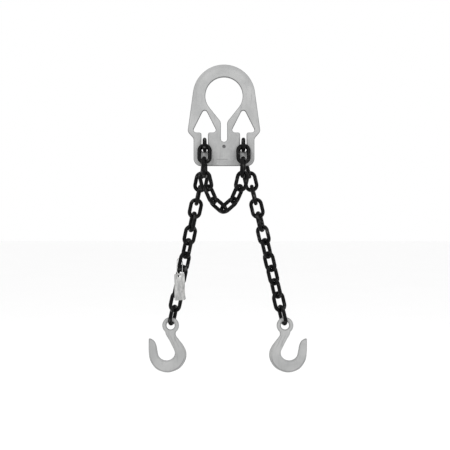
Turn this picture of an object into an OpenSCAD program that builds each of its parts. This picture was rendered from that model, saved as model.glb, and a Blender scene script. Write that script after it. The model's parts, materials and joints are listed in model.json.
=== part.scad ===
// Two-leg chain sling with an adjuster plate.
// Millimetres, +Z up, -Y is the front. The origin is the centre of the plate's crane-hook eye.
// The chain goes from the left hook up the back of the plate, through the left slot, down and
// up again as a slack loop in front, through the right slot and down the back to the right hook.

/* [Adjuster plate] */
// Thickness of the plate
plate_t = 12; // [10:0.5:12.5]
// Outer radius of the round top
plate_top_r = 80; // [76:1:84]
// Half of the plate's greatest width, at the shoulders
plate_shoulder_x = 92.8; // [90:0.2:96]
// Height of the shoulders
plate_shoulder_z = -88; // [-90:1:-84]
// Half of the width below the shoulders
plate_side_x = 78; // [76:0.5:80]
// Height of the bottom edge
plate_bottom_z = -180; // [-182:1:-174]
// Radius of the crane-hook eye
eye_r = 48; // [44:0.5:50]
// Width of the slot that runs down from the eye
eye_slot_w = 16.4; // [12:0.2:18]
// Height of the eye slot's round end
eye_slot_bottom_z = -118; // [-122:1:-114]

/* [Chain windows and slots] */
// Distance of each chain slot from the middle
slot_x = 49.6; // [49:0.1:50.5]
// Width of a chain slot
slot_w = 16.8; // [16:0.2:18]
// Height of a chain slot's round end, where the chain's load rests
slot_bottom_z = -145; // [-148:0.5:-142]
// Height of the window's bottom edge
window_bottom_z = -94.2; // [-97:0.2:-92]
// Height of the middle of the window's top corner
window_top_z = -44.6; // [-48:0.2:-42]
// Distance of the window's lower corners from its middle
window_half_w = 21.6; // [20:0.2:22]

/* [Chain] */
// Diameter of the link's wire
wire_d = 10; // [9.6:0.1:10]
// Outer width of a link
link_w = 37; // [36:0.5:38]
// Outer length of a link
link_l = 55.9; // [55:0.1:56]
// Clearance where two links bear on each other
bearing_gap = 0.2; // [0.1:0.05:0.3]
// The same in the left leg, whose links sit a little less tight
left_gap = 0.525; // [0.1:0.01:0.6]
// The same where the links beside the plate hang in the slot links
slot_gap = 0.5; // [0.4:0.05:0.8]
// The same in the slack loop, where the links cross less squarely
crossed_gap = 0.4; // [0.4:0.05:0.8]
// The same at the hooks' eyes
hook_gap = 0.9; // [0.6:0.05:1.2]
// Number of links in each leg, below the link that lies in the slot
leg_links = 13; // [13]

/* [How the chain hangs] */
// Sideways angle of the first two links of the left leg
left_top_tilt = 6.5; // [4:0.5:12]
// Sideways angle of the rest of the left leg
left_tilt = 11.9; // [8:0.1:14]
// Sideways angle of the right leg
right_tilt = 13.4; // [10:0.1:15]
// Angle at which the links next to the slots lean away from the plate
slot_lean = 16.4; // [16.4:0.1:20]
// Turn that each leg link adds to the one above it
leg_twist = 7; // [6:0.5:8]

/* [Hooks] */
// Radius of the hook's eye hole
hook_eye_r = 10.5; // [10:0.1:11]
// Thickness of the round bar that forms the eye
hook_eye_bar = 11.3; // [11:0.1:12]

/* [Tag] */
// Width of the identification tag
tag_w = 28; // [24:1:30]
// Length of the tag
tag_l = 70; // [60:1:74]
// Thickness of the tag
tag_t = 1.2; // [1:0.1:1.6]
// Diameter of the wire that holds the tag
tag_wire_d = 2; // [1.6:0.1:2]

/* [Hidden] */
PAINT_GREY = [0.72, 0.72, 0.72];
CHAIN_BLACK = [0.06, 0.06, 0.065];
TAG_GREY = [0.82, 0.82, 0.8];
WIRE_GREY = [0.7, 0.7, 0.7];
LEG_NAMES = ["left", "right"];

// Chain link: half tori of radius arc_r, 2 * half_straight apart, joined by two straight bars.
arc_r = (link_w - wire_d) / 2;
half_straight = (link_l - link_w) / 2;
crown_to_centre = arc_r + half_straight;
DOWN = [0, 0, -1];
BACK = [0, 1, 0];

// Vectors and angles
function unit(v) = v / norm(v);
function hang_dir(tilt, lean) = [sin(tilt) * cos(lean), sin(lean), -cos(tilt) * cos(lean)];

// A link's place is [centre, direction of its length, direction of its width].
function link_width_dir(along, roll) =
    let (flat = unit(cross(BACK, along))) flat * cos(roll) + cross(along, flat) * sin(roll);
function link_normal(place) = cross(place[1], place[2]);
function lower_arc(place) = place[0] + half_straight * place[1];

// Distance between the arc centres of two links that bear on each other
function arc_distance(gap) = 2 * arc_r - wire_d - gap;

// Direction in which one link bears on the next: the line that both links' planes share.
function bearing_dir(upper, along, across) =
    let (shared = cross(link_normal(upper), cross(along, across)),
         middle = unit(upper[1] + along),
         side = shared * middle < 0 ? -1 : 1)
    norm(shared) < 0.3 || abs(unit(shared) * middle) < 0.8 ? middle : side * unit(shared);

// The place of a link that hangs in the link above it
function next_link(upper, tilt, lean, roll, gap) =
    let (along = hang_dir(tilt, lean),
         across = link_width_dir(along, roll),
         upper_arc = lower_arc(upper) + arc_distance(gap) * bearing_dir(upper, along, across))
    [upper_arc + half_straight * along, along, across];

// Link that lies through a slot, edge-on, with its lower bar on the slot's round end
slot_bar_z = slot_bottom_z + wire_d / 2 + bearing_gap;
function slot_place(side) = [[side * slot_x, 0, slot_bar_z + arc_r], BACK, [0, 0, 1]];

// Crown of the first link beside the plate: it rests in the slot link's arc and on the plate's face.
crown_y = plate_t / 2 + wire_d / 2 + 0.4;
crown_reach = arc_r - wire_d - slot_gap;
crown_z = slot_bar_z + arc_r - sqrt(crown_reach ^ 2 - (crown_y - half_straight) ^ 2);
slot_bearing = unit([0, crown_y - half_straight, crown_z - slot_bar_z - arc_r]);
function beside_plate(side, face, tilt) =
    let (along = hang_dir(tilt, face * slot_lean),
         reach = wire_d + slot_gap,
         bar = [side * slot_x, face * (crown_y + reach * slot_bearing.y),
                crown_z + reach * slot_bearing.z],
         out = [-slot_bearing.z * sin(tilt), face * slot_bearing.y, slot_bearing.z * cos(tilt)],
         crown = bar - reach * out)
    [crown + crown_to_centre * along, along, link_width_dir(along, 0)];

// Legs: every second link is turned by a quarter, and a slow twist is added below the third link.
function leg_roll(i) = (i % 2 == 0 ? 90 : 0) + max(0, i - 3) * leg_twist;
function leg_tilt(side, i) = side > 0 ? right_tilt : (i < 3 ? -left_top_tilt : -left_tilt);
function leg_gap(side) = side > 0 ? bearing_gap : left_gap;
function leg_place(side, i) =
    i == 1 ? beside_plate(side, 1, leg_tilt(side, 1))
           : next_link(leg_place(side, i - 1), leg_tilt(side, i), 0, side * leg_roll(i), leg_gap(side));

// Slack loop: tilt and roll of each half's links from the slot down. The links twist the same
// way round on both sides, so the halves lean slightly apart to meet at the bottom.
loop_tilts = [0, 2, 13, 24];
loop_rolls = [0, 100, 24, 124, 53];
loop_lean = 0.2;
// Tilts of the left and the right bottom link
loop_bottom_tilts = [48.65, 48.54];
loop_links = 10;
function loop_tilt(side, i) = i < 5 ? loop_tilts[i - 1] : loop_bottom_tilts[side < 0 ? 0 : 1];
function loop_half(side, i) =
    i == 1 ? beside_plate(side, -1, -side * loop_tilts[0])
           : next_link(loop_half(side, i - 1), -side * loop_tilt(side, i), -side * loop_lean,
                       loop_rolls[i - 1], crossed_gap);
function loop_place(i) =
    i <= loop_links / 2 ? loop_half(-1, i) : loop_half(1, loop_links + 1 - i);

// Hook: it hangs straight down, with its eye on the last leg link's lower arc.
hook_bar_r = hook_eye_bar / 2;
hook_ring_r = hook_eye_r + hook_bar_r;
function hook_eye_centre(side) =
    let (last = leg_place(side, leg_links))
    lower_arc(last) + (arc_r + hook_ring_r - wire_d / 2 - hook_bar_r - hook_gap) * last[1];

// Stations along the hook's body: inner edge, outer edge, thickness, in the hook's own plane
// with the eye's centre at 0,0 and the point towards -X.
hook_stations = [
    [[-15, -15], [15, -15], 12],
    [[-12.5, -24], [14, -25.5], 15],
    [[-4.5, -37.5], [22.5, -37.5], 19],
    [[3.5, -53], [34.5, -53.5], 23],
    [[10, -68], [41.5, -71], 25],
    [[8.5, -79.5], [38.5, -92], 26],
    [[0, -88], [22, -113], 26],
    [[-11.3, -91], [-7, -123], 26],
    [[-22.5, -88], [-36, -114.5], 25],
    [[-30.5, -80], [-53, -92.5], 22],
    [[-34, -66], [-57.2, -70], 18],
    [[-37, -51], [-57.5, -51], 14],
    [[-43, -40], [-57.4, -40], 10],
    [[-52.5, -34], [-57, -34.5], 5]
];
hook_steps = 3;
hook_sides = 16;
// How much thicker the section is at the inner edge, and how square its corners are
hook_wedge = 0.14;
hook_square = 0.8;

function smooth(a, b, c, d, t) =
    0.5 * (2 * b + (c - a) * t + (2 * a - 5 * b + 4 * c - d) * t ^ 2
           + (3 * b - a - 3 * c + d) * t ^ 3);
function station(list, i) = list[min(max(i, 0), len(list) - 1)];
function at(list, s, k) =
    let (i = floor(s), t = s - i)
    smooth(station(list, i - 1)[k], station(list, i)[k], station(list, i + 1)[k],
           station(list, i + 2)[k], t);
function swell(x) = sign(x) * abs(x) ^ hook_square;
function hook_ring(s) =
    let (inner = at(hook_stations, s, 0),
         outer = at(hook_stations, s, 1),
         half_t = at(hook_stations, s, 2) / 2,
         mid = (inner + outer) / 2,
         half = (outer - inner) / 2)
    [for (j = [0:hook_sides - 1])
        let (a = 360 * j / hook_sides,
             p = mid + half * swell(cos(a)),
             y = half_t * swell(sin(a)) * (1 - hook_wedge * cos(a)))
        [p.x, y, p.y]];

// Tag and its wire loop, which hangs on the left bar of the ninth link of the left leg
tag_link = 9;
tag_wire_l = 50;
tag_wire_w = 20;
tag_hole_r = 4;
tag_hole_drop = 6.5;
tag_corner_r = 4;
tag_corner_x = tag_w / 2 - tag_corner_r;
tag_wire_dir = unit([0, -0.67, -1]);
// Where the wire's top crown rests along the link's bar, and how far its middle hangs below that
tag_wire_along = 4.3;
tag_wire_hang = 12.2;
function tag_wire_place() =
    let (link = leg_place(-1, tag_link),
         across = unit(cross(cross(tag_wire_dir, link[2]), tag_wire_dir)),
         strand = link[0] + arc_r * link[2] + tag_wire_along * link[1])
    [strand + tag_wire_hang * tag_wire_dir, tag_wire_dir, across];
tag_wire_crown = tag_wire_place()[0] + (tag_wire_l - tag_wire_d) / 2 * tag_wire_dir;
tag_hole = tag_wire_crown + (tag_hole_r - tag_wire_d / 2 - slot_gap) * DOWN;
// The tag swings out at its lower end, leans with the leg and is turned a little towards it.
tag_swing = 15;
tag_lean = 3;
tag_turn = 15;

// Plate outline, right half, from the top down. The left half mirrors it.
flare = 8;
shoulder_r = 12;
waist_turn = 42;
waist_r = 14;
corner_r = 19;
arc_points = 10;
function arc(centre, r, from, to) =
    [for (i = [0:arc_points]) centre + r * [cos(from + (to - from) * i / arc_points),
                                            sin(from + (to - from) * i / arc_points)]];
function both_halves(right) =
    concat(right, [for (i = [len(right) - 1:-1:0]) [-right[i].x, right[i].y]]);
waist_z = plate_shoulder_z - shoulder_r * sin(waist_turn) - waist_r * sin(waist_turn)
    - (plate_shoulder_x - shoulder_r + shoulder_r * cos(waist_turn)
       - plate_side_x - waist_r + waist_r * cos(waist_turn)) / tan(waist_turn);
plate_outline = both_halves(concat(
    arc([0, 0], plate_top_r, 90, 45),
    arc([0, 0], plate_top_r, 40, flare),
    arc([plate_shoulder_x - shoulder_r, plate_shoulder_z], shoulder_r, flare, -waist_turn),
    arc([plate_side_x + waist_r, waist_z], waist_r, 180 - waist_turn, 180),
    arc([plate_side_x - corner_r, plate_bottom_z + corner_r], corner_r, 0, -90)));

// Throat that narrows from the eye to its slot: its walls graze the eye's circle.
throat_turn = 38.6;
throat_round = 15;
graze = 0.25;
throat_meet_z = -((eye_r - graze) - eye_slot_w / 2 * cos(throat_turn)) / sin(throat_turn);
throat_outline = both_halves(concat(
    [(eye_r - graze) * [cos(throat_turn), -sin(throat_turn)]],
    arc([eye_slot_w / 2 + throat_round, throat_meet_z - throat_round * tan(throat_turn / 2)],
        throat_round, 180 - throat_turn, 180),
    arc([0, eye_slot_bottom_z + eye_slot_w / 2], eye_slot_w / 2, 0, -90)));

// Chain window with its slot
window_r = 6.8;
lip_r = 5;
window_side = atan((window_half_w) / (window_top_z - window_bottom_z - window_r));
window_outline = both_halves(concat(
    arc([0, window_top_z], window_r, 90, window_side),
    arc([window_half_w, window_bottom_z + window_r], window_r, window_side, -90),
    arc([slot_w / 2 + lip_r, window_bottom_z - lip_r], lip_r, 90, 180),
    arc([0, slot_bottom_z + slot_w / 2], slot_w / 2, 0, -90)));

// Small features of the plate
drill_z = -130.4;
drill_d = 8;
drill_depth = 2;
pad_size = [52, 8];
pad_z = -165;
pad_rise = 0.8;

// Stands a drawing of the XZ plane upright, with its thickness along Y
module upright(t) {
    rotate([90, 0, 0]) linear_extrude(t, center = true) children();
}

// Moves a shape drawn along X, across Y, to a link's place
module put(place) {
    a = place[1];
    w = place[2];
    n = link_normal(place);
    c = place[0];
    multmatrix([[a.x, w.x, n.x, c.x], [a.y, w.y, n.y, c.y], [a.z, w.z, n.z, c.z]]) children();
}

// Closed oval of round bar: two half tori and two straight bars
module oval_ring(length, width, bar) {
    r = (width - bar) / 2;
    straight = (length - width) / 2;
    for (end = [-1, 1]) {
        translate([0, end * r, 0])
            rotate([0, 90, 0]) cylinder(d = bar, h = 2 * straight, center = true, $fn = 24);
        translate([end * straight, 0, 0])
            rotate(-90 * end)
                rotate_extrude(angle = 180, $fn = 48) translate([r, 0]) circle(d = bar, $fn = 24);
    }
}

module chain_link(place) {
    color(CHAIN_BLACK) put(place) oval_ring(link_l, link_w, wire_d);
}

module adjuster_plate() {
    color(PAINT_GREY) {
        difference() {
            upright(plate_t) polygon(plate_outline);
            rotate([90, 0, 0]) cylinder(r = eye_r, h = 2 * plate_t, center = true, $fn = 96);
            upright(2 * plate_t) polygon(throat_outline);
            for (side = [-1, 1])
                translate([side * slot_x, 0, 0]) upright(2 * plate_t) polygon(window_outline);
            translate([0, -plate_t / 2, drill_z])
                rotate([90, 0, 0]) cylinder(d = drill_d, h = 2 * drill_depth, center = true, $fn = 48);
        }
        translate([-pad_size.x / 2, -plate_t / 2 - pad_rise, pad_z - pad_size.y / 2])
            cube([pad_size.x, pad_rise + 1, pad_size.y]);
    }
}

// Forged hook: a round eye and a body that is swept through the stations
module hook_body() {
    rings = (len(hook_stations) - 1) * hook_steps;
    points = [for (i = [0:rings]) each hook_ring(i / hook_steps)];
    sides = [for (i = [0:rings - 1]) for (j = [0:hook_sides - 1])
        let (a = i * hook_sides, b = a + hook_sides, k = (j + 1) % hook_sides)
        [a + j, a + k, b + k, b + j]];
    first = [for (j = [hook_sides - 1:-1:0]) j];
    last = [for (j = [0:hook_sides - 1]) rings * hook_sides + j];
    polyhedron(points, concat(sides, [first], [last]));
}

module hook(side) {
    color(PAINT_GREY) translate(hook_eye_centre(side)) mirror([side > 0 ? 1 : 0, 0, 0]) {
        rotate([90, 0, 0])
            rotate_extrude($fn = 64) translate([hook_ring_r, 0]) circle(r = hook_bar_r, $fn = 24);
        hook_body();
    }
}

module tag_wire() {
    color(WIRE_GREY) put(tag_wire_place()) oval_ring(tag_wire_l, tag_wire_w, tag_wire_d);
}

module id_tag() {
    color(TAG_GREY)
        translate(tag_hole) rotate([-tag_swing, -tag_lean, 0]) rotate(-tag_turn)
            upright(tag_t) difference() {
                polygon(both_halves(concat(
                    arc([tag_corner_x, tag_hole_drop - tag_corner_r], tag_corner_r, 90, 0),
                    arc([tag_corner_x, tag_hole_drop - tag_l + tag_corner_r],
                        tag_corner_r, 0, -90))));
                circle(r = tag_hole_r, $fn = 32);
            }
}

adjuster_plate();
chain_link(slot_place(-1));  // slot_link_left
chain_link(slot_place(1));  // slot_link_right
for (i = [1:loop_links])
    chain_link(loop_place(i));
for (i = [1:leg_links]) {
    chain_link(leg_place(-1, i));
    chain_link(leg_place(1, i));
}
hook(-1);  // left_hook
hook(1);  // right_hook
tag_wire();
id_tag();
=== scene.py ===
import json
import math

import bmesh
import bpy
import numpy as np
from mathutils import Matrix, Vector
from mathutils.geometry import delaunay_2d_cdt


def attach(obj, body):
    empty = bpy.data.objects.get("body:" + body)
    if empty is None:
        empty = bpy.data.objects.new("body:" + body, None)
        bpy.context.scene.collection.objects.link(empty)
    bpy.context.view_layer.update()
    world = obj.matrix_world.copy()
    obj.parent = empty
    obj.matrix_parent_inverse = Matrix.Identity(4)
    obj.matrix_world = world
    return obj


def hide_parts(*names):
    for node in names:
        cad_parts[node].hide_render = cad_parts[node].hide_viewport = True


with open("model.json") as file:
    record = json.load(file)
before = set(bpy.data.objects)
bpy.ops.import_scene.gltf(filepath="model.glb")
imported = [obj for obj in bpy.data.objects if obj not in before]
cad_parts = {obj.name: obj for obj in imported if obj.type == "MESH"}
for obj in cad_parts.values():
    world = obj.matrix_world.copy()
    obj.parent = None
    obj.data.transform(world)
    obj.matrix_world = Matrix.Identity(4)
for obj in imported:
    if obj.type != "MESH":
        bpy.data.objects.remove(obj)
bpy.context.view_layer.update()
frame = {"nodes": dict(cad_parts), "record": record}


# ---------------------------------------------------------------------------------------------
# Adjuster plate. A flat steel forging, 12 mm thick, with rounded edges and a coat of light grey
# paint. A round eye takes the crane hook, and two windows with slots below take the chain.
# ---------------------------------------------------------------------------------------------
def arc(cx, cz, radius, first, last, count=60):
    """Points centre + radius * (cos a, sin a), with a going from first to last degrees."""
    a = np.radians(np.linspace(first, last, count))
    return np.stack([cx + radius * np.cos(a), cz + radius * np.sin(a)], 1)


def outline(right_half, spacing=1.6, middle=0.0):
    """Closed outline from its right half and the half's mirror image, in equal steps."""
    points = np.concatenate([right_half, right_half[::-1] * [-1, 1]])
    points = np.concatenate([points, points[:1]])
    run = np.r_[0, np.cumsum(np.linalg.norm(np.diff(points, axis=0), axis=1))]
    at = np.linspace(0, run[-1], int(run[-1] / spacing) + 1)[:-1]
    return np.stack([np.interp(at, run, points[:, k]) for k in (0, 1)], 1) + [middle, 0]


def side_of(points):
    """Unit normals of a closed clockwise outline that point to its inside: (t.z, -t.x)."""
    t = np.roll(points, -1, 0) - np.roll(points, 1, 0)
    t /= np.linalg.norm(t, axis=1)[:, None]
    return np.stack([t[:, 1], -t[:, 0]], 1)


def inside(points, loop):
    """Even-odd test: a point is inside if a line to the right of it crosses the loop oddly."""
    a, b = loop, np.roll(loop, -1, 0)
    x, z = points[:, :1], points[:, 1:]
    spans = (a[:, 1] > z) != (b[:, 1] > z)
    rise = np.where(b[:, 1] == a[:, 1], 1.0, b[:, 1] - a[:, 1])
    cross = a[:, 0] + (z - a[:, 1]) / rise * (b[:, 0] - a[:, 0])
    return (spans & (x < cross)).sum(1) % 2 == 1


def waves(p, size, seed):
    """Soft unevenness between -1 and 1: the mean of five sine waves in random directions."""
    rng = np.random.default_rng(seed)
    k = rng.normal(size=(5, p.shape[-1]))
    k *= 2 * np.pi / size * rng.uniform(0.7, 1.4, (5, 1)) / np.linalg.norm(k, axis=1)[:, None]
    return np.sin(p @ k.T + rng.uniform(0, 2 * np.pi, 5)).mean(-1)


def slab(outer, holes, half_t, edge_r, extra, spacing):
    """Flat plate with rounded edges. Each outline carries a band whose rows are offset by
    edge_r * (1 - cos a) into the material at height half_t - edge_r * (1 - sin a), and the two
    faces are filled with triangles between the innermost rows."""
    a = np.radians(np.linspace(90, 0, 6))
    offset = edge_r * (1 - np.cos(a))
    height = half_t - edge_r * (1 - np.sin(a))
    offset, height = np.r_[offset, offset[::-1]], np.r_[height, -height[::-1]]
    verts, faces, rims = [], [], []
    for i, loop in enumerate([outer] + holes):
        into = side_of(loop) * (1 if i == 0 else -1)
        ring = loop[:, None] + into[:, None] * offset[None, :, None]
        n, m = ring.shape[:2]
        base = sum(len(v) for v in verts)
        y = -np.broadcast_to(height, (n, m))
        verts.append(np.stack([ring[..., 0], y, ring[..., 1]], -1).reshape(-1, 3))
        j, k = np.meshgrid(np.arange(n), np.arange(m - 1), indexing="ij")
        nxt = (j + 1) % n
        quad = np.stack([j * m + k, nxt * m + k, nxt * m + k + 1, j * m + k + 1], -1)
        quad = quad.reshape(-1, 4) + base
        faces += (quad if i else quad[:, ::-1]).tolist()
        rims.append(ring[:, 0])
    lo, hi = outer.min(0), outer.max(0)
    grid = np.stack(np.meshgrid(*[np.arange(lo[k], hi[k], spacing) for k in (0, 1)]), -1)
    grid = np.concatenate([grid.reshape(-1, 2)] + extra)
    keep = inside(grid, rims[0])
    for rim in rims[1:]:
        keep &= ~inside(grid, rim)
    edge = np.concatenate(rims)
    near = np.full(len(grid), 9.0)
    for part in np.array_split(edge, 12):
        near = np.minimum(near, np.linalg.norm(grid[:, None] - part[None], axis=2).min(1))
    grid = grid[keep & (near > spacing * 0.45)]
    flat = np.concatenate([edge, grid])
    ends = np.cumsum([0] + [len(r) for r in rims])
    edges = []
    for start, stop in zip(ends[:-1], ends[1:]):
        edges += [(k, k + 1 if k + 1 < stop else start) for k in range(start, stop)]
    cut = delaunay_2d_cdt([tuple(p) for p in flat], edges, [], 0, 1e-5)
    points, triangles = np.array([tuple(p) for p in cut[0]]), np.array(cut[2])
    middle = points[triangles].mean(1)
    real = inside(middle, rims[0])
    for rim in rims[1:]:
        real &= ~inside(middle, rim)
    triangles = triangles[real]
    d = points[triangles]
    turn = np.cross(d[:, 1] - d[:, 0], d[:, 2] - d[:, 0])
    triangles = np.where(turn[:, None] > 0, triangles, triangles[:, ::-1])
    for y, order in ((-half_t, 1), (half_t, -1)):
        base = sum(len(v) for v in verts)
        verts.append(np.insert(points, 1, y, axis=1))
        faces += (triangles[:, ::order] + base).tolist()
    return np.concatenate(verts), faces


class Shade:
    """A shader socket that adds, multiplies and compares like a number, by way of Math nodes."""

    def __init__(self, tree, socket):
        self.tree = tree
        self.socket = socket

    def math(self, operation, *others):
        n = self.tree.nodes.new("ShaderNodeMath")
        n.operation = operation
        for slot, value in zip(n.inputs, others):
            if isinstance(value, Shade):
                self.tree.links.new(value.socket, slot)
            else:
                slot.default_value = value
        return Shade(self.tree, n.outputs[0])

    def __add__(self, other):
        return self.math("ADD", self, other)

    def __sub__(self, other):
        return self.math("SUBTRACT", self, other)

    def __mul__(self, other):
        return self.math("MULTIPLY", self, other)

    def __rsub__(self, other):
        return self.math("SUBTRACT", other, self)

    __radd__ = __add__
    __rmul__ = __mul__

    def size(self):
        """Distance from zero."""
        return self.math("ABSOLUTE", self)

    def off(self, other):
        """Length of the two sides' hypotenuse: sqrt(self^2 + other^2)."""
        total = self * self + other * other
        return total.math("POWER", total, 0.5)

    def between(self, low, high):
        """0 below low, 1 above high, and smooth in between."""
        n = self.tree.nodes.new("ShaderNodeMapRange")
        n.interpolation_type = "SMOOTHSTEP"
        self.tree.links.new(self.socket, n.inputs["Value"])
        n.inputs["From Min"].default_value = low
        n.inputs["From Max"].default_value = high
        return Shade(self.tree, n.outputs[0])


class Finish:
    """A material made of one Principled shader and the textures that vary it."""

    def __init__(self, name, **constants):
        self.material = bpy.data.materials.new(name)
        self.material.use_nodes = True
        self.tree = self.material.node_tree
        self.shader = self.tree.nodes["Principled BSDF"]
        for key, value in constants.items():
            self.shader.inputs[key.replace("_", " ")].default_value = value
        self.place = self.node("ShaderNodeTexCoord").outputs["Object"]
        parts = self.node("ShaderNodeSeparateXYZ", Vector=self.place).outputs
        self.x, self.y, self.z = [Shade(self.tree, part) for part in parts]

    def node(self, kind, settings=(), **sockets):
        n = self.tree.nodes.new(kind)
        for key, value in dict(settings).items():
            setattr(n, key, value)
        for key, value in sockets.items():
            slot = n.inputs[int(key[1:])] if key[0] == "_" else n.inputs[key.replace("_", " ")]
            if isinstance(value, Shade):
                value = value.socket
            if isinstance(value, bpy.types.NodeSocket):
                self.tree.links.new(value, slot)
            else:
                slot.default_value = value
        return n

    def noise(self, per_metre, detail=4.0, roughness=0.55, at=None):
        n = self.node("ShaderNodeTexNoise", Vector=at or self.place, Scale=per_metre,
                      Detail=detail, Roughness=roughness)
        return Shade(self.tree, n.outputs[0])

    def streaks(self, per_metre, stretch, detail=3.0):
        """Noise drawn out along the height."""
        n = self.node("ShaderNodeVectorMath", {"operation": "MULTIPLY"}, _0=self.place,
                      _1=(1.0, 1.0, 1.0 / stretch))
        return self.noise(per_metre, detail, 0.6, n.outputs[0])

    def baked(self, name):
        """A value that the mesh carries at its vertices."""
        return Shade(self.tree, self.node("ShaderNodeAttribute", {"attribute_name": name})
                     .outputs["Fac"])

    def mix(self, factor, first, second):
        """Colour between first and second."""
        n = self.node("ShaderNodeMix", {"data_type": "RGBA"}, _0=factor, _6=first, _7=second)
        return n.outputs[2]

    def use(self, **links):
        for key, value in links.items():
            value = value.socket if isinstance(value, Shade) else value
            self.tree.links.new(value, self.shader.inputs[key.replace("_", " ")])

    def bump(self, height, depth, normal=None):
        n = self.node("ShaderNodeBump", Height=height, Distance=depth, Strength=1.0)
        if normal is not None:
            self.tree.links.new(normal, n.inputs["Normal"])
        return n.outputs[0]


def piece(name, verts, faces, finish, body, nodes):
    """A closed smooth mesh from millimetres in the row frame, that rides on a body."""
    mesh = bpy.data.meshes.new(name)
    mesh.from_pydata((np.asarray(verts) * 0.001).tolist(), [], faces)
    mesh.shade_smooth()
    mesh.materials.append(finish.material)
    thing = bpy.data.objects.new(name, mesh)
    bpy.context.scene.collection.objects.link(thing)
    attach(thing, body)
    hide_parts(*nodes)
    return thing


def face_outwards(thing, join_within=0.0):
    """Joins vertices closer than join_within metres and turns every face outwards."""
    shell = bmesh.new()
    shell.from_mesh(thing.data)
    if join_within:
        bmesh.ops.remove_doubles(shell, verts=shell.verts, dist=join_within)
    bmesh.ops.recalc_face_normals(shell, faces=shell.faces)
    shell.to_mesh(thing.data)
    shell.free()


# Half of the thickness, and the radius of the rounded edges
half_t, edge_r = 6, 2.6
# Outer radius of the top, half widths at the shoulders and below them, and the bottom edge
top_r, shoulder_x, side_x, shoulder_z, bottom_z = 80, 92.8, 78, -88, -180
# Radii of the shoulder, of the hollow below it and of the lower corner
shoulder_r, hollow_r, corner_r = 12, 14, 19
# The eye, the slot below it, and the radius that leads from one to the other
eye_r, eye_slot_half, eye_slot_end_z, throat_r = 48, 8.2, -109.8, 15
# The chain windows, and the slots that lead down from them
window_r, window_half, window_top_z, window_low_z = 6.8, 21.6, -44.6, -87.4
slot_x, slot_half, slot_end_z, foot_r = 49.6, 8.4, -136.6, 5
# Middles of the dimple and of the raised pad, and the height of the dark line above the pad
dimple_z, pad_z, dark_line_z = -130.4, -165, -163.2

outer_line = outline(np.concatenate([
    arc(0, 0, top_r, 90, 8, 120),
    arc(shoulder_x - shoulder_r, shoulder_z, shoulder_r, 8, -42),
    arc(side_x + hollow_r, -114.42, hollow_r, 138, 180),
    arc(side_x - corner_r, bottom_z + corner_r, corner_r, 0, -90)]))
eye_line = outline(np.concatenate([
    arc(0, 0, eye_r, 90, -38.6, 120),
    arc(eye_slot_half + throat_r, -71.9, throat_r, 141.4, 180),
    arc(0, eye_slot_end_z, eye_slot_half, 0, -90)]))
window_right = np.concatenate([
    arc(0, window_top_z, window_r, 90, 26.8),
    arc(window_half, window_low_z, window_r, 26.8, -90),
    arc(slot_half + foot_r, -99.2, foot_r, 90, 180),
    arc(0, slot_end_z, slot_half, 0, -90)])
window_lines = [outline(window_right, middle=side * slot_x) for side in (-1, 1)]
dimple = [arc(0, dimple_z, r, 0, 360, 25)[:-1] for r in (1.4, 2.8, 3.6, 4.1, 4.9)]
plate_verts, plate_faces = slab(outer_line, [eye_line] + window_lines, half_t, edge_r, dimple, 2.4)
x, y, z = plate_verts.T
on_face = np.clip((np.abs(y) - (half_t - edge_r)) / edge_r, 0, 1)
front = (y < 0) * on_face
# Unevenness of the forging, a shallow groove round the arch, the dimple and the raised pad
sink = 0.10 * (1 + waves(plate_verts, 60, 1)) + 0.05 * (1 + waves(plate_verts, 18, 2))
arch = np.clip((z + 26) / 30, 0, 1)
from_eye = np.hypot(x, z)
sink += arch * (0.35 * np.exp(-((from_eye - 69) / 2.2) ** 2))
hole = np.hypot(x, z - dimple_z)
sink += front * 2.0 * np.clip((4.4 - hole) / 1.6, 0, 1)
pad = np.clip((27 - np.abs(x)) / 2.6, 0, 1) * np.clip((5 - np.abs(z - pad_z)) / 2.4, 0, 1)
sink -= front * 0.75 * pad * pad * (3 - 2 * pad)
plate_verts[:, 1] -= np.sign(y) * sink * on_face


def painted(name):
    """Light grey paint on rough-cast steel: clouded, speckled and dirtied in fine streaks."""
    coat = Finish(name, IOR=1.5, Coat_Roughness=0.25)
    speckle = coat.noise(900, 3)
    cloud = coat.noise(22, 3)
    grain = coat.noise(240, 5, 0.6)
    dirt = coat.streaks(150, 7)
    tone = coat.mix(cloud.between(0.3, 0.7), (0.272, 0.275, 0.274, 1), (0.326, 0.328, 0.326, 1))
    tone = coat.mix(grain.between(0.56, 0.78) * 0.4, tone, (0.23, 0.232, 0.235, 1))
    tone = coat.mix(dirt.between(0.52, 0.75) * 0.45, tone, (0.19, 0.19, 0.192, 1))
    coat.use(Roughness=0.36 + 0.2 * cloud + 0.08 * speckle,
             Coat_Weight=0.25 * cloud.between(0.2, 0.8))
    rough_cast = coat.bump(grain * 0.7 + speckle * 0.3, 0.0009)
    coat.use(Normal=coat.bump(cloud, 0.002, rough_cast))
    return coat, tone


# Painted shade: the walls of the openings and of the outer edge are darkened, and painted shade fills
# the dimple. The arch is darker towards its outer edge, and a dark line runs above the raised pad.
paint, tone = painted("grey_paint")
# Painted shade on the walls of the eye, the windows and the outer edge
painted_wall_shade = paint.baked("wall").between(0.02, 0.3)
tone = paint.mix(painted_wall_shade * 0.8, tone, (0.040, 0.040, 0.043, 1))
# Painted shade in the dimple, on the front face only
painted_dimple_shade = 1 - paint.x.off(paint.z - dimple_z * 0.001).between(0.0030, 0.0056)
tone = paint.mix(painted_dimple_shade * paint.baked("front") * 0.85, tone, (0.035, 0.035, 0.037, 1))
# The top of the arch is darker towards its outer edge
darker_outer_arch = paint.x.off(paint.z).between(0.069, 0.077) * paint.z.between(-0.01, 0.03)
tone = paint.mix(darker_outer_arch * 0.5, tone, (0.235, 0.235, 0.237, 1))
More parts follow.
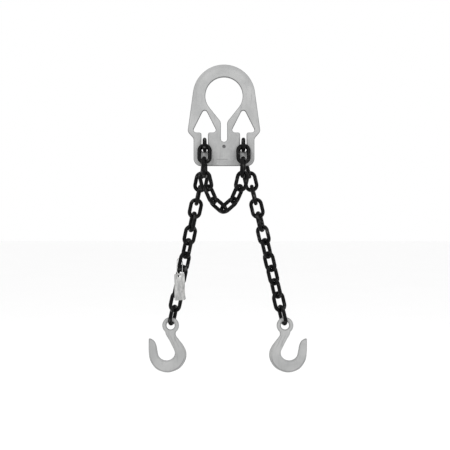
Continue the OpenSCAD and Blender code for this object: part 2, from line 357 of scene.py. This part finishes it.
# A dark line painted above the raised pad, on the front face
dark_pad_line = (1 - (paint.z - dark_line_z * 0.001).size().between(0.0006, 0.0022)) * (
    1 - (paint.x + 0.005).size().between(0.010, 0.020))
tone = paint.mix(dark_pad_line * paint.baked("front") * 0.55, tone, (0.12, 0.12, 0.12, 1))
paint.use(Base_Color=tone)
plate = piece("plate", plate_verts, plate_faces, paint, "plate", ["adjuster_plate"])
for key, value in (("wall", 1 - on_face), ("front", front)):
    plate.data.attributes.new(key, "FLOAT", "POINT").data.foreach_set("value", value)
face_outwards(plate, 2e-6)


# ---------------------------------------------------------------------------------------------
# Chain. Each link is 10 mm round bar of alloy steel, bent to an oval, butt-welded in the middle of
# one straight side and dipped in black lacquer. Two links lie in the plate's slots, ten form the
# slack loop and thirteen hang in each leg.
# ---------------------------------------------------------------------------------------------
def solid_place(node):
    """Centre and principal axes of a closed CAD solid, longest first, from its volume moments:
    the tetrahedra from the origin to each triangle have volume d / 6 and second moment
    d / 120 * (sum of v v^T + s s^T), where s is the sum of the corners."""
    mesh = frame["nodes"][node].data
    mesh.calc_loop_triangles()
    v = np.array([p.co[:] for p in mesh.vertices]) * 1000
    t = v[np.array([f.vertices[:] for f in mesh.loop_triangles])]
    start = v.mean(0)
    t = t - start
    d = np.einsum("ij,ij->i", t[:, 0], np.cross(t[:, 1], t[:, 2]))
    s = t.sum(1)
    centre = (d[:, None] * s).sum(0) / 4 / d.sum()
    second = np.einsum("i,ikj,ikl->jl", d, t, t) + np.einsum("i,ij,il->jl", d, s, s)
    second = second / 20 / d.sum() - np.outer(centre, centre)
    axes = np.linalg.eigh(second)[1][:, ::-1].T
    return centre + start, axes


def band(rows, columns, closed=True):
    """Quads over a grid of points. Its columns close on themselves, and its rows if closed."""
    i, j = np.meshgrid(np.arange(rows if closed else rows - 1), np.arange(columns), indexing="ij")
    i2, j2 = (i + 1) % rows, (j + 1) % columns
    corners = [i * columns + j, i2 * columns + j, i2 * columns + j2, i * columns + j2]
    return np.stack(corners, -1).reshape(-1, 4)


def oval(place, length, width, bar, count, sides, swell):
    """Bar bent to an oval: the line runs along two half circles and two straights, and the bar's
    section at each point is bar / 2 * swell * (cos b * outward + sin b * normal)."""
    centre, (along, across, normal) = place
    r, straight = (width - bar) / 2, (length - width) / 2
    total = 2 * np.pi * r + 4 * straight
    s = np.linspace(0, total, count, endpoint=False)
    quarter = np.pi * r
    out = np.zeros((count, 2))
    line = np.zeros((count, 2))
    for k, (begin, end) in enumerate([(0, quarter), (quarter, quarter + 2 * straight),
                                      (quarter + 2 * straight, 2 * quarter + 2 * straight),
                                      (2 * quarter + 2 * straight, total)]):
        m = (s >= begin) & (s < end)
        u = (s[m] - begin) / (end - begin)
        if k % 2 == 0:
            a = (u - 0.5) * np.pi + (np.pi if k == 2 else 0)
            out[m] = np.stack([np.cos(a), np.sin(a)], 1)
            line[m] = out[m] * r + [straight if k == 0 else -straight, 0]
        else:
            way = 1 if k == 1 else -1
            out[m] = [0, way]
            line[m] = np.stack([way * straight * (1 - 2 * u), np.full(m.sum(), way * r)], 1)
    b = np.linspace(0, 2 * np.pi, sides, endpoint=False)
    size = bar / 2 * swell(s / total, b)
    flat = line[:, None] + out[:, None] * (size * np.cos(b))[..., None]
    lift = size * np.sin(b)
    axes = np.stack([along, across, normal])
    verts = centre + np.concatenate([flat, lift[..., None]], -1) @ axes
    quads = band(count, sides)
    if np.linalg.det(axes) < 0:
        quads = quads[:, ::-1]
    return verts.reshape(-1, 3), quads.tolist()


lacquer = Finish("black_lacquer", IOR=1.17)
film = lacquer.noise(55, 3)
scale_marks = lacquer.noise(420, 5, 0.65)
worn = lacquer.noise(95, 4, 0.6)
tone = lacquer.mix(film.between(0.3, 0.72), (0.0012, 0.0012, 0.0015, 1),
                   (0.0040, 0.0039, 0.0041, 1))
tone = lacquer.mix(scale_marks.between(0.6, 0.85) * 0.5, tone, (0.020, 0.019, 0.018, 1))
tone = lacquer.mix(worn.between(0.56, 0.74) * 0.7, tone, (0.085, 0.084, 0.082, 1))
lacquer.use(Base_Color=tone, Roughness=0.22 + 0.20 * film + 0.10 * scale_marks)
lacquer.use(Normal=lacquer.bump(scale_marks, 0.0005, lacquer.bump(film, 0.0015)))

# Outer length and width of a link and its bar, the length of its middle line, and where along
# that line the weld sits
link_length, link_width, link_bar, link_line, weld_at = 55.9, 37, 10, 122.6, 0.4230


def link_swell(node):
    """How the bar's size varies along one link, whose name sets how its weld came out."""
    number = sum(ord(c) * (k + 3) for k, c in enumerate(node))
    rng = np.random.default_rng(number)
    lean, fat = rng.uniform(-0.004, 0.004), rng.uniform(0.25, 0.45)

    def swell(s, b):
        """1 with a collar of upset steel at the weld and a little unevenness elsewhere."""
        gap = (s - weld_at - lean)[:, None] * link_line
        collar = 0.11 * fat * np.exp(-(gap / 2.6) ** 2) - 0.05 * np.exp(-(gap / 0.55) ** 2)
        turn = 2 * np.pi * s
        lump = waves(np.stack([np.cos(turn) * 3, np.sin(turn) * 3], 1), 3.2, number)
        return 0.990 + 0.005 * lump[:, None] + collar * (0.4 + 0.6 * np.abs(np.cos(b)))

    return swell


for node in [n for n in frame["nodes"] if "link" in n]:
    verts, quads = oval(solid_place(node), link_length, link_width, link_bar, 112, 24,
                        link_swell(node))
    body = [b for b, ns in frame["record"]["behaviour"]["bodies"].items() if node in ns][0]
    piece(node + "_bar", verts, quads, lacquer, body, [node])


# ---------------------------------------------------------------------------------------------
# Foundry hooks. Each is one steel forging: a round eye, a shank that widens downwards, and an
# open bowl that tapers to a blunt point. Same grey paint as the plate. Trimmed flash leaves a
# bevel along the outer edge.
# ---------------------------------------------------------------------------------------------
# Stations along the hook: inner edge x, z, outer edge x, z, thickness.
shank = [(-15, -15, 15, -15, 12), (-12.5, -24, 14, -25.5, 15), (-4.5, -37.5, 22.5, -37.5, 19),
         (3.5, -53, 34.5, -53.5, 23), (10, -68, 41.5, -71, 25)]
bowl = [(8.5, -79.5, 38.5, -92, 26), (0, -88, 22, -113, 26), (-11.3, -91, -7, -123, 26),
        (-22.5, -88, -36, -114.5, 25), (-30.5, -80, -53, -92.5, 22)]
point = [(-34, -66, -57.2, -70, 18), (-37, -51, -57.5, -51, 14), (-43, -40, -57.4, -40, 10),
         (-52.5, -34, -57, -34.5, 5)]


def through(stations, steps):
    """Catmull-Rom curve through the stations:
    (2b + (c - a)t + (2a - 5b + 4c - d)t^2 + (3b - a - 3c + d)t^3) / 2."""
    p = np.array(stations, float)
    p = np.concatenate([p[:1], p, p[-1:]])
    t = np.linspace(0, 1, steps, endpoint=False)[:, None, None]
    a, b, c, d = p[:-3], p[1:-2], p[2:-1], p[3:]
    q = 0.5 * (2 * b + (c - a) * t + (2 * a - 5 * b + 4 * c - d) * t ** 2
               + (3 * b - a - 3 * c + d) * t ** 3)
    return np.concatenate([q.transpose(1, 0, 2).reshape(-1, p.shape[1]), p[-1:]])


# Section, from the inner edge (-1) to the outer edge (1): half thickness at each place across.
across_at = np.array([-1.0, -0.985, -0.93, -0.80, -0.55, -0.1, 0.35, 0.66, 0.74, 0.88, 0.97, 1.0])
thick_at = np.array([0.0, 0.30, 0.62, 0.90, 1.0, 0.98, 0.95, 0.92, 0.80, 0.50, 0.26, 0.0])
section = np.concatenate([np.stack([across_at, thick_at], 1),
                          np.stack([across_at, -thick_at], 1)[-2:0:-1]])

# Width of the section, as a share of the width between the stations' edges
fullness = 0.969
# The hook's eye: radius of the hole, size of the bar, and the bar's radii across and front to back
eye_hole_r, eye_bar, eye_bar_across, eye_bar_deep = 10.5, 11.3, 5.55, 5.6

rows = through(shank + bowl + point, 12)
inner, outer = rows[:, :2], rows[:, 2:4]
middle, half = (inner + outer) / 2, (outer - inner) / 2 * fullness
xz = middle[:, None] + half[:, None] * section[None, :, :1]
thick = rows[:, 4:] / 2 * section[:, 1]
hook_verts = np.stack([xz[..., 0], thick, xz[..., 1]], -1)
last, columns = hook_verts.shape[0] - 1, hook_verts.shape[1]
hook_faces = band(last + 1, columns, closed=False).tolist()
hook_faces += [list(range(columns))[::-1], [last * columns + k for k in range(columns)]]
hook_verts = hook_verts.reshape(-1, 3)
eye_a = np.linspace(0, 2 * np.pi, 72, endpoint=False)[:, None]
eye_b = np.linspace(0, 2 * np.pi, 28, endpoint=False)[None]
ring = eye_hole_r + eye_bar / 2 + eye_bar_across * np.cos(eye_b)
deep = eye_bar_deep * np.sin(eye_b) + 0 * eye_a
eye_verts = np.stack([ring * np.cos(eye_a), deep, ring * np.sin(eye_a)], -1)
hook_faces += (band(72, 28) + len(hook_verts)).tolist()
hook_verts = np.concatenate([hook_verts, eye_verts.reshape(-1, 3)])


def hook_paint(name, eye, side):
    """The plate's paint with painted shade along the bowl's outer edge and along a groove line inside
    it, along two ridges on the shank and along the rim between the two faces. The bowl's middle is 73.5
    below the eye and 8 outwards."""
    coat, tone = painted(name)
    low = coat.z - float(eye[2] - 73.5) * 0.001
    out = (coat.x - float(eye[0] + side * 8) * 0.001).off(low)
    # Painted shade: a dark groove line inside the bowl's outer edge, and a dark band at the edge where
    # the faces turn down and away
    painted_groove_shade = out.between(0.0425, 0.0440) * (1 - out.between(0.0447, 0.0462))
    painted_edge_shade = painted_groove_shade * 0.55 + out.between(0.0468, 0.0484) * 0.95
    tone = coat.mix(painted_edge_shade * (1 - low.between(-0.022, 0.002)), tone, (0.060, 0.060, 0.063, 1))
    up = coat.z - float(eye[2]) * 0.001
    across = (coat.x - float(eye[0]) * 0.001) * (-0.904 * side) + up * 0.427
    # Painted shade along two ridges that run down the shank
    painted_ridge_shade = 2 - ((across + 0.0115).size().between(0.0003, 0.0016)
                 + (across + 0.0035).size().between(0.0003, 0.0014))
    painted_ridge_shade = painted_ridge_shade * up.between(-0.064, -0.045) * (1 - up.between(-0.030, -0.022))
    tone = coat.mix(painted_ridge_shade * 0.35, tone, (0.10, 0.10, 0.103, 1))
    # Painted shade along the rim between the two faces, where the section rounds off
    rim = 1 - (coat.y - float(eye[1]) * 0.001).size().between(0.0012, 0.0054)
    coat.use(Base_Color=coat.mix(rim * 0.75, tone, (0.065, 0.065, 0.068, 1)))
    return coat


for side, name in ((-1, "left_hook"), (1, "right_hook")):
    cad = np.array([p.co[:] for p in frame["nodes"][name].data.vertices]) * 1000
    top = cad[:, 2].max()
    crown = cad[cad[:, 2] > top - 0.5]
    eye = np.array([(crown[:, 0].min() + crown[:, 0].max()) / 2,
                    (cad[:, 1].min() + cad[:, 1].max()) / 2, top - eye_hole_r - eye_bar])
    verts = hook_verts * [-side, 1, 1] + eye
    hook = piece(name + "_forging", verts, hook_faces, hook_paint(name + "_paint", eye, side),
                 name, [name])
    face_outwards(hook)
    merge = hook.modifiers.new("one_forging", "REMESH")
    merge.mode = "VOXEL"
    merge.voxel_size = 0.0009
    merge.use_smooth_shade = True
    soften = hook.modifiers.new("die_radius", "SMOOTH")
    soften.factor = 0.5
    soften.iterations = 5


# ---------------------------------------------------------------------------------------------
# Tag. A thin strip of pale plastic-coated metal, bent by use, with one hole. It hangs on a loop
# of bright twisted wire through the ninth link of the left leg.
# ---------------------------------------------------------------------------------------------
centre, axes = solid_place("id_tag")
axes = axes * np.sign(np.array([[axes[0, 2]], [axes[1, 0]], [axes[2, 1]]]))
cad = np.array([p.co[:] for p in frame["nodes"]["id_tag"].data.vertices]) * 1000
spread = (cad - centre) @ axes.T
centre = centre + ((spread.min(0) + spread.max(0)) / 2) @ axes
# Half of the tag's width and length, radius of its corners and hole, and height of the hole
tag_half_w, tag_half_l, tag_r, hole_z = 14, 35, 4, 28.5
corner_x, corner_z = tag_half_w - tag_r, tag_half_l - tag_r
tag_line = outline(np.concatenate([arc(corner_x, corner_z, tag_r, 90, 0, 12),
                                   arc(corner_x, -corner_z, tag_r, 0, -90, 12)]), 1.1)
hole_line = outline(arc(0, hole_z, tag_r, 90, -90, 30), 0.9)
tag_verts, tag_faces = slab(tag_line, [hole_line], 0.4, 0.35, [], 1.3)
x, y, z = tag_verts.T
low = np.clip((24 - z) / 20, 0, 1)
fold = 1.5 * np.sin(x / 28 * 2 * np.pi * 1.15 + z / 30 + 0.6) * low
fold += 0.9 * np.sin(z / 17 + x / 16) * low + 0.5 * waves(tag_verts[:, [0, 2]], 11, 4) * low
tag_verts[:, 1] += fold - 0.4 * low
bottom = np.clip(-z / tag_half_l, 0, 1)
tag_verts[:, 0] += 0.7 * np.sin(z / 13) * low + np.where(x > 0, 2.2, 0.6) * x / tag_half_w * bottom ** 2
tag_verts[:, 1] -= 2.0 * np.clip((-x - 5) / 9, 0, 1) * np.clip((-z - 22) / 12, 0, 1)
# Painted shade of the folds on the lower part: a dark band near the middle and a fainter one to the
# right
painted_fold_shade = np.exp(-((x + 2.5 + 0.06 * z) / 3.6) ** 2) * low
painted_fold_shade += 0.7 * np.exp(-((x - 7.5 - 0.10 * z) / 1.8) ** 2) * low
tag_verts = tag_verts[:, [2, 0, 1]] @ axes + centre

pale = Finish("pale_tag", IOR=1.45, Coat_Roughness=0.3)
smudge = pale.noise(60, 4)
scratch = pale.noise(500, 4, 0.7)
crease_shade_and_bump = pale.streaks(170, 9)
tone = pale.mix(smudge.between(0.35, 0.7), (0.41, 0.41, 0.40, 1), (0.30, 0.30, 0.295, 1))
# Painted shade of fine folds: darker streaks drawn out along the height
tone = pale.mix(crease_shade_and_bump.between(0.46, 0.60) * 0.6, tone, (0.150, 0.151, 0.153, 1))
# Painted shade of the folds
tone = pale.mix(pale.baked("painted_fold_shade") * 0.6, tone, (0.150, 0.151, 0.153, 1))
tone = pale.mix(scratch.between(0.6, 0.75) * 0.4, tone, (0.3, 0.3, 0.3, 1))
height = smudge * 0.5 + crease_shade_and_bump * 0.4 + scratch * 0.1
pale.use(Base_Color=tone, Roughness=0.3 + 0.3 * smudge, Coat_Weight=0.2 * smudge,
         Metallic=0.15 * smudge, Normal=pale.bump(height, 0.002))
tag = piece("tag_strip", tag_verts, tag_faces, pale, "id_tag", ["id_tag"])
tag.data.attributes.new("painted_fold_shade", "FLOAT", "POINT").data.foreach_set("value", painted_fold_shade)
face_outwards(tag, 2e-6)

bright = Finish("bright_wire", Metallic=1.0, IOR=1.5)
drawn = bright.noise(700, 4)
tone = bright.mix(drawn.between(0.3, 0.7), (0.62, 0.62, 0.61, 1), (0.42, 0.42, 0.42, 1))
bright.use(Base_Color=tone, Roughness=0.28 + 0.22 * drawn, Normal=bright.bump(drawn, 0.0003))


def strand(s, b):
    """1 with the shallow spiral of a two-strand twist: 1 + 0.05 * sin(2b + 60 * 2 pi * s)."""
    return 0.95 + 0.05 * np.sin(2 * b[None] + 60 * 2 * np.pi * s[:, None])


# Outer length and width of the wire loop, and the wire's diameter
loop_length, loop_width, loop_wire = 50, 20, 2
verts, quads = oval(solid_place("tag_wire"), loop_length, loop_width, loop_wire, 360, 14, strand)
piece("tag_wire_loop", verts, quads, bright, "tag_wire", ["tag_wire"])


# ---------------------------------------------------------------------------------------------
# Studio: a pale floor well below the hooks, soft light from above the camera, white surroundings.
# ---------------------------------------------------------------------------------------------
floor_z, floor_half = -1.0, 30
corners = [(-1, -1), (1, -1), (1, 1), (-1, 1)]
mesh = bpy.data.meshes.new("floor")
mesh.from_pydata([(i * floor_half, j * floor_half, floor_z) for i, j in corners], [],
                 [(0, 1, 2, 3)])
floor = bpy.data.objects.new("floor", mesh)
bpy.context.scene.collection.objects.link(floor)
matt = Finish("floor_white", Roughness=0.9)
dust = matt.noise(1.5, 2)
matt.use(Base_Color=matt.mix(dust, (0.955, 0.955, 0.955, 1), (0.975, 0.975, 0.975, 1)))
mesh.materials.append(matt.material)

world = bpy.data.worlds.new("white_room")
world.use_nodes = True
world.node_tree.nodes["Background"].inputs["Color"].default_value = (1, 1, 1, 1)
world.node_tree.nodes["Background"].inputs["Strength"].default_value = 1.0
bpy.context.scene.world = world
bpy.context.scene.view_settings.view_transform = "Standard"

for name, spot, power, width in (("key", (-0.9, -1.9, 1.5), 30, 0.9),
                                 ("fill", (1.3, -1.8, 0.5), 12, 0.8)):
    lamp = bpy.data.lights.new(name, "AREA")
    lamp.energy = power
    lamp.size = width
    light = bpy.data.objects.new(name, lamp)
    light.location = spot
    aim = Vector((0, 0, -0.3)) - light.location
    light.rotation_euler = aim.to_track_quat("-Z", "Y").to_euler()
    bpy.context.scene.collection.objects.link(light)

lens = bpy.data.cameras.new("camera")
lens.sensor_width = 36
lens.lens = 62.26
lens.clip_end = 100
camera = bpy.data.objects.new("camera", lens)
camera.location = (0.00257, -2.0, -0.3315)
camera.rotation_euler = (math.pi / 2, 0, 0)
bpy.context.scene.collection.objects.link(camera)
bpy.context.scene.camera = camera
